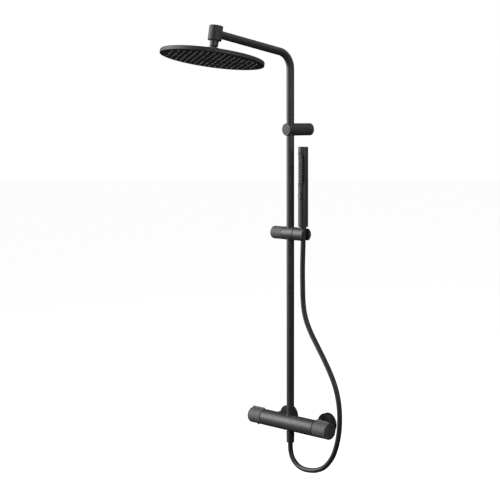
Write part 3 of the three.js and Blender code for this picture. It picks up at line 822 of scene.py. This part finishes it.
def add_elbow():
    r, up = radius("elbow", "x"), 19.6
    stem_r = 8
    elbow = carved(turned([
        (0, -ELBOW_DOWN), (r - 1, -ELBOW_DOWN, 0.6), (r, 1 - ELBOW_DOWN, 0.6), (r, up - 1.4, 1.0),
        (r - 1.4, up, 1.0), (0, up),
    ], sides=FINE), cut=[
        bar(RISER_R + GAP, 5.7, 30, "y"), bar(stem_r + GAP, -30, 0, "z", sides=SMALL),
    ])
    stand_for("elbow", on_arm(elbow), MATT_COATING)
    ball_r, neck_r, waterway = 9, 6, 3.5
    arc_from = math.acos(neck_r / ball_r)
    arc_to = -math.acos(waterway / ball_r)
    steps = 24
    ball = [
        (ball_r * math.cos(angle), ball_r * math.sin(angle) - BALL_DROP)
        for angle in (arc_to + (arc_from - arc_to) * i / steps for i in range(steps + 1))
    ]
    connector_r, connector_bottom = radius("ball_connector", "x"), -33
    flats = ELBOW_DOWN + GAP
    connector = turned([
        (waterway, -11), *ball, (neck_r, connector_bottom, 0.4), (connector_r - 0.6, connector_bottom, 0.4),
        (connector_r, connector_bottom + 0.9, 0.4), (connector_r, -flats - 5.4, 0.1),
        (connector_r - 0.35, -flats - 5.0, 0.1), (connector_r - 0.35, -flats - 4.4, 0.1),
        (connector_r, -flats - 4.0, 0.1), (connector_r, -flats, 0.7), (stem_r, -flats, 0.3),
        (stem_r, -11, 0.4),
    ])
    stand_for("ball_connector", on_arm(connector), COATING)


# ---- Overhead shower: shell, collar, face plate, rubber nozzles and centre disc ----
HEAD_R = 133
HEAD_TOP = -57.1
HEAD_BOTTOM = HEAD_TOP - 10.4
LIP = 1.6
DISC_R = 10
NOZZLE_PITCH = 15.5
NOZZLE_REACH = 119
NOZZLE_R = 2.3


def nozzle_places():
    """A triangular grid with one row along the arm, from the centre disc out to the rim."""
    places = []
    span = int(NOZZLE_REACH / NOZZLE_PITCH) + 2
    for column in range(-span, span + 1):
        for row in range(-span, span + 1):
            x = column * NOZZLE_PITCH * math.cos(math.pi / 6)
            y = (row + column % 2 / 2) * NOZZLE_PITCH
            if DISC_R + 3.5 < math.hypot(x, y) < NOZZLE_REACH:
                places.append((x, y, 0))
    return places


def add_overhead_shower():
    stand_for("ball_seat_ring", on_arm(ring(9.3, 11, -BALL_DROP - 1.5, -BALL_DROP + 1.5)), PLASTIC)
    collar_r = 16
    collar = turned([
        (8.2, -36.6, 0.3), (13.6, -39.2, 0.4), (13.6, -47, 0.2), (collar_r, -47, 0.4),
        (collar_r, -37.6, 0.8), (collar_r - 1, -36.6, 0.6),
    ])
    stand_for("head_collar", on_arm(collar), COATING)
    shell = turned([
        (9, -55, 0.3), (60, -57.2, 8), (HEAD_R - 7, HEAD_TOP - 3.6, 3), (HEAD_R - LIP, HEAD_TOP - 5.2, 1.2),
        (HEAD_R - LIP, HEAD_BOTTOM, 0.3), (HEAD_R, HEAD_BOTTOM, 0.7), (HEAD_R, HEAD_TOP - 1.2, 1.6),
        (HEAD_R - 1.8, HEAD_TOP, 1.6), (60, -53, 30), (22, -49.5, 8), (collar_r, -47.3, 0.8),
        (12, -47.3, 0.3), (12, -52, 0.3), (9, -52, 0.2),
    ], sides=256)
    stand_for("head_shell", on_arm(shell), MATT_COATING)

    places = nozzle_places()
    plate_top, plate_bottom = HEAD_BOTTOM + 2.9, HEAD_BOTTOM + 0.3
    plate = turned([
        (DISC_R + GAP, plate_bottom, 0.4), (HEAD_R - LIP - GAP, plate_bottom, 0.5),
        (HEAD_R - LIP - GAP, plate_top, 0.2), (DISC_R + GAP, plate_top, 0.2),
    ], sides=256)
    holes = joined(*[bar(NOZZLE_R + 0.15, plate_bottom - 2, plate_top + 2, "z", at, 24) for at in places])
    stand_for("head_face_plate", on_arm(carved(plate, cut=[holes])), FACE)

    mat_bottom, mat_top = HEAD_BOTTOM + 3.2, HEAD_BOTTOM + 5
    tip = HEAD_BOTTOM - 1.7
    nozzles = [turned([
        (0, mat_bottom + 0.5), (NOZZLE_R, mat_bottom + 0.5), (NOZZLE_R, plate_bottom - 0.25, 0.3),
        (1.75, plate_bottom - 0.6, 0.3), (1.35, tip, 0.35), (0.6, tip, 0.15),
        (0.6, tip + 1.2), (0, tip + 1.2),
    ], "z", at, 24) for at in places]
    mat = ring(DISC_R + 3, HEAD_R - 8, mat_bottom, mat_top, sides=FINE)
    stand_for("head_nozzle_mat", on_arm(carved(mat, add=[joined(*nozzles)])), RUBBER)
    stand_for("head_centre_disc", on_arm(turned([
        (0, HEAD_BOTTOM + 0.5), (DISC_R - 3, HEAD_BOTTOM + 0.5, 0.6), (DISC_R - 2, HEAD_BOTTOM + 0.2, 0.4),
        (DISC_R, HEAD_BOTTOM + 0.2, 0.4), (DISC_R, HEAD_BOTTOM + 3.6, 0.3), (0, HEAD_BOTTOM + 3.6),
    ], sides=FINE)), FACE)


# ---- Slider: bush on the riser, body, clamp with its knurled knob, and the tilting cradle ----
def add_slider():
    height = middle("slider_body", "z")
    at = (0, AXIS_Y, height)
    r = 17.6
    left, right = low("slider_body", "x"), high("slider_body", "x")
    bush_r = 11.6
    stand_for("slider_bush", ring(RISER_R + GAP, bush_r, -15.5, 15.5, "z", at, edge=0.5), PLASTIC)
    stand_for("slider_body", carved(bar(r, left, right, "x", at, FINE, edge=0.5), cut=[
        bar(bush_r + GAP, -30, 30, "z", at), bar(5.2, left - 5, -8, "x", at, SMALL),
        bar(3.2, 8, right + 5, "x", at, SMALL),
    ]), COATING)
    pad_left, pad_right = low("clamp_pad", "x"), high("clamp_pad", "x")
    stand_for("clamp_pad", bar(4.8, pad_left, pad_right, "x", at, SMALL, edge=0.4), PLASTIC)

    def thread(angle, along, radius_here):
        if radius_here <= 3.9:
            return 0.0
        return -0.22 * abs(((along / 1.25 + angle / (2 * math.pi)) % 1) * 2 - 1)

    screw_left, screw_right = low("clamp_screw", "x"), high("clamp_screw", "x")
    stand_for("clamp_screw", turned([
        (0, screw_left), (3.6, screw_left, 0.3), (4, screw_left + 0.6), (4, screw_right - 0.6),
        (3.6, screw_right, 0.3), (0, screw_right),
    ], "x", at, SMALL, relief=thread, fine=(screw_left + 0.6, screw_right - 0.6, 0.3)), STEEL)
    knob_left, knob_right = low("clamp_knob", "x"), high("clamp_knob", "x")
    knob_r, chamfer = radius("clamp_knob", "z"), 3.8
    grip = (knob_left + chamfer + 0.6, knob_right - 1.4)
    stand_for("clamp_knob", turned([
        (0, knob_left), (knob_r - 4, knob_left, 0.7), (knob_r, knob_left + chamfer, 0.7), (knob_r, grip[0]),
        (knob_r, grip[1]), (knob_r, knob_right, 0.6), (4.3, knob_right, 0.3), (4.3, screw_left - 0.4),
        (0, screw_left - 0.4),
    ], "x", at, 280, relief=knurl(knob_r, *grip), fine=(*grip, 0.42)), KNOB_COATING)
    washer_left, washer_right = low("cradle_washer", "x"), high("cradle_washer", "x")
    stand_for("cradle_washer", ring(3.5, 16.4, washer_left, washer_right, "x", at, edge=0.15), PLASTIC)
    stand_for("cradle_pivot_screw", turned([
        (0, 13), (2.9, 13, 0.4), (2.9, 36, 0.2), (5, 36, 0.3), (5, 38.6, 0.6), (1.6, 38.6),
        (1.6, 37.2), (0, 37.2),
    ], "x", at, SMALL), STEEL)


HAND_X = middle("hand_shower_shell", "x")
HAND_AT = (HAND_X, AXIS_Y, 0)


def add_cradle():
    height = middle("slider_body", "z")
    at = (0, AXIS_Y, height)
    left, right = low("cradle", "x"), high("cradle", "x")
    cone = turned([(0, -20), (8.3, -20), (9.3, 20), (0, 20)], "z", (HAND_X, AXIS_Y, height))
    slot_width = 2 * (HOSE_R + 0.5)
    cradle = turned([
        (0, left), (17.43, left, 0.6), (17.43, right - 0.8, 0.5), (16.63, right, 0.5), (0, right),
    ], "x", at, FINE)
    stand_for("cradle", carved(cradle, cut=[
        cone, block((20, slot_width, 50), (HAND_X + 10, AXIS_Y, height), edge=0.01),
        bar(3.2, left - 5, 40, "x", at, SMALL), bar(5.3, 35.6, 45, "x", at, SMALL),
    ]), COATING)


# ---- Hand shower: a plain stick with an oblong spray face and a round-ended button ----
HAND_R = 13.27
HAND_FOOT = low("hand_shower_shell", "z")
HAND_TOP = high("hand_shower_shell", "z")
SPRAY_LOW, SPRAY_HIGH = low("hand_spray_face", "z") - GAP, high("hand_spray_face", "z") + GAP
SPRAY_HALF = 11.9
SPRAY_BACK = 5.8  # the pocket's flat back, in front of the stick's axis
BUTTON_HALF = 6.6


def spray_places():
    """Nozzles in staggered rows on the spray face, as (x, z)."""
    pitch_x, pitch_z = 4.4, 3.9
    places = []
    rows = int((SPRAY_HIGH - SPRAY_LOW) / pitch_z) + 1
    centre_z = (SPRAY_LOW + SPRAY_HIGH) / 2
    end_z = (SPRAY_HIGH - SPRAY_LOW) / 2 - SPRAY_HALF
    for row in range(-rows // 2, rows // 2 + 1):
        for column in range(-2, 3):
            x = (column + row % 2 / 2) * pitch_x
            z = row * pitch_z
            beyond = max(0.0, abs(z) - end_z)
            if math.hypot(x, beyond) < SPRAY_HALF - 3.2:
                places.append((x, centre_z + z))
    return places


def add_hand_shower():
    spray_middle = (SPRAY_LOW + SPRAY_HIGH) / 2
    spray_tall = SPRAY_HIGH - SPRAY_LOW
    button_middle = middle("hand_button", "z")
    button_tall = high("hand_button", "z") - low("hand_button", "z")
    back = AXIS_Y - SPRAY_BACK
    shell = turned([
        (0, HAND_TOP), (HAND_R - 1, HAND_TOP, 0.7), (HAND_R, HAND_TOP - 1, 0.7),
        (HAND_R, HAND_FOOT + 0.8, 0.5), (HAND_R - 0.8, HAND_FOOT, 0.5), (8.2, HAND_FOOT, 0.3),
        (8.2, HAND_FOOT + 14), (11.3, HAND_FOOT + 14), (11.3, HAND_TOP - 3), (0, HAND_TOP - 3),
    ], "z", HAND_AT, FINE)
    pocket = oblong(2 * SPRAY_HALF, spray_tall, [(0, back - 20), (0, back)], (HAND_X, 0, spray_middle))
    button_hole = oblong(2 * (BUTTON_HALF + GAP), button_tall + 2 * GAP, [(0, back - 20), (0, back)],
                         (HAND_X, 0, button_middle))
    stand_for("hand_shower_shell", carved(shell, cut=[pocket, button_hole]), COATING)

    front_layers = [(0.25, back - 20), (0.25, back - GAP)]
    spray = oblong(2 * SPRAY_HALF, spray_tall, front_layers, (HAND_X, 0, spray_middle))
    sunk_r = HAND_R - 0.5
    sunk = turned([
        (0, SPRAY_LOW - 5), (sunk_r, SPRAY_LOW - 5), (sunk_r, SPRAY_HIGH + 5), (0, SPRAY_HIGH + 5),
    ], "z", HAND_AT, FINE)
    holes, nubs = [], []
    for x, z in spray_places():
        at = (HAND_X + x, 0, z)
        front = AXIS_Y - math.sqrt(sunk_r ** 2 - x ** 2)
        holes.append(bar(1.25, front - 3, front + 1.6, "y", at, 16))
        nubs.append(turned([
            (0, front + 1.5), (1.1, front + 1.5), (1.1, front - 0.1, 0.2), (0.75, front - 1.0, 0.3),
            (0, front - 1.0),
        ], "y", at, 16))
    stand_for("hand_spray_face", carved(spray, keep=[sunk], cut=[joined(*holes)]), HAND_FACE)
    mat_low, mat_high = low("hand_nozzle_mat", "z"), high("hand_nozzle_mat", "z")
    mat_front, mat_back = low("hand_nozzle_mat", "y"), high("hand_nozzle_mat", "y")
    mat = block((17, mat_back - mat_front, mat_high - mat_low),
                (HAND_X, (mat_front + mat_back) / 2, (mat_low + mat_high) / 2), edge=0.4)
    stand_for("hand_nozzle_mat", joined(mat, *nubs), RUBBER)

    button_back = high("hand_button", "y")
    cap_r = AXIS_Y - low("hand_button", "y")
    button_at = (HAND_X, 0, button_middle)
    button = oblong(2 * BUTTON_HALF, button_tall, [(0, back - 20), (0, button_back)], button_at)
    cap_low, cap_high = button_middle - 15, button_middle + 15
    cap = turned([(0, cap_low), (cap_r, cap_low), (cap_r, cap_high), (0, cap_high)], "z", HAND_AT, FINE)
    rim = 3.4
    front = AXIS_Y - cap_r
    dish_layers = [(0, front - 3), (0, front - 0.2), (0.6, front + 0.35)]
    dish = oblong(2 * BUTTON_HALF - rim, button_tall - rim, dish_layers, button_at)
    stand_for("hand_button", carved(button, keep=[cap], cut=[dish]), PLASTIC)
    tail_low, tail_high = low("hand_inlet_tail", "z"), high("hand_inlet_tail", "z")
    stand_for("hand_inlet_tail", ring(3.6, 6.8, tail_low, tail_high, "z", HAND_AT), BRASS)


# ---- Nuts and washers at the hose's two ends ----
def add_hose_ends():
    bore = HOSE_R + 0.4
    foot, top = low("hose_nut_upper", "z"), high("hose_nut_upper", "z")
    stand_for("hose_nut_upper", turned([
        (bore, foot, 0.2), (7.8, foot, 0.3), (8.8, top, 0.4), (bore, top, 0.2),
    ], "z", HAND_AT), COATING)
    washer_low, washer_high = low("hose_washer_upper", "z"), high("hose_washer_upper", "z")
    stand_for("hose_washer_upper", ring(3.6, 6.7, washer_low, washer_high, "z", HAND_AT, edge=0.4), RUBBER)
    foot, top = low("hose_nut_lower", "z"), high("hose_nut_lower", "z")
    seat = OUTLET_BOTTOM - 2.6
    stand_for("hose_nut_lower", turned([
        (bore, foot, 0.3), (10.35, foot, 0.9), (11, top, 0.6), (8.9, top, 0.3), (8.9, seat), (bore, seat),
    ], "z", AXIS), COATING)
    washer_low, washer_high = low("hose_washer_lower", "z"), high("hose_washer_lower", "z")
    washer = ring(OUTLET_BORE_R, 8.4, washer_low, washer_high, "z", AXIS, edge=0.4)
    stand_for("hose_washer_lower", washer, RUBBER)


add_mixer()
add_mixer_end(-1, {
    "cartridge": "thermostatic_cartridge", "spindle": "temperature_spindle",
    "stop_ring": "temperature_stop_ring", "knob": "temperature_knob", "button": "safety_button",
})
add_mixer_end(1, {
    "cartridge": "flow_cartridge", "spindle": "flow_spindle", "stop_ring": "flow_stop_ring",
    "knob": "flow_knob", "button": None,
})
add_inlet("left")
add_inlet("right")
add_riser()
add_arm()
add_bracket()
add_elbow()
add_overhead_shower()
add_slider()
add_cradle()
add_hand_shower()
add_hose_ends()


# ---- Floor, sky and lights ----
FLOOR_Z = -1.05  # a mixer is about a metre above the floor


def add_floor():
    mesh = bmesh.new()
    bmesh.ops.create_circle(mesh, cap_ends=True, segments=96, radius=40)
    bmesh.ops.translate(mesh, vec=(0, 0, FLOOR_Z), verts=mesh.verts)
    data = bpy.data.meshes.new("floor")
    mesh.to_mesh(data)
    mesh.free()
    floor = bpy.data.objects.new("floor", data)
    bpy.context.scene.collection.objects.link(floor)
    material = bpy.data.materials.new("pale_floor")
    material.use_nodes = True
    shader = material.node_tree.nodes["Principled BSDF"]
    shader.inputs["Base Color"].default_value = (0.8, 0.8, 0.8, 1)
    shader.inputs["Roughness"].default_value = 0.9
    shader.inputs["Specular IOR Level"].default_value = 0.1
    shader.inputs["Emission Color"].default_value = (1, 1, 1, 1)
    shader.inputs["Emission Strength"].default_value = 0.96
    data.materials.append(material)
    floor.visible_diffuse = False
    floor.visible_glossy = False


def add_sky(shown, light):
    """A plain pale backdrop for the eye, and a dimmer even light on the object."""
    world = bpy.data.worlds.new("studio")
    bpy.context.scene.world = world
    world.use_nodes = True
    tree = world.node_tree
    background = tree.nodes["Background"]
    background.inputs["Color"].default_value = (1, 1, 1, 1)
    background.inputs["Strength"].default_value = light
    backdrop = tree.nodes.new("ShaderNodeBackground")
    backdrop.inputs["Color"].default_value = (1, 1, 1, 1)
    backdrop.inputs["Strength"].default_value = shown
    path = tree.nodes.new("ShaderNodeLightPath")
    mix = tree.nodes.new("ShaderNodeMixShader")
    tree.links.new(path.outputs["Is Camera Ray"], mix.inputs["Fac"])
    tree.links.new(background.outputs["Background"], mix.inputs[1])
    tree.links.new(backdrop.outputs["Background"], mix.inputs[2])
    tree.links.new(mix.outputs["Shader"], tree.nodes["World Output"].inputs["Surface"])


def add_softbox(name, place, target, size, power):
    data = bpy.data.lights.new(name, "AREA")
    data.shape = "RECTANGLE"
    data.size, data.size_y = size
    data.energy = power
    lamp = bpy.data.objects.new(name, data)
    lamp.location = place
    lamp.rotation_euler = (Vector(target) - Vector(place)).to_track_quat("-Z", "Y").to_euler()
    bpy.context.scene.collection.objects.link(lamp)


add_floor()
add_sky(shown=1.0, light=0.025)
MIDDLE = (0, AXIS_Y * MM, 0.45)
add_softbox("key", (-3.15, -2.7, 2.0), MIDDLE, (1.4, 3.8), 350)
add_softbox("fill", (2.85, -0.75, 1.7), MIDDLE, (2.8, 1.8), 54)
add_softbox("above", (0.3, -0.5, 3.2), MIDDLE, (1.5, 1.5), 7)
add_softbox("bounce", (-0.5, -1.6, -0.9), (0, -0.3, 0.9), (3.0, 2.0), 4)
add_softbox("back", (0.4, 2.6, 2.4), MIDDLE, (2.2, 1.6), 20)
bpy.context.scene.view_settings.view_transform = "Standard"
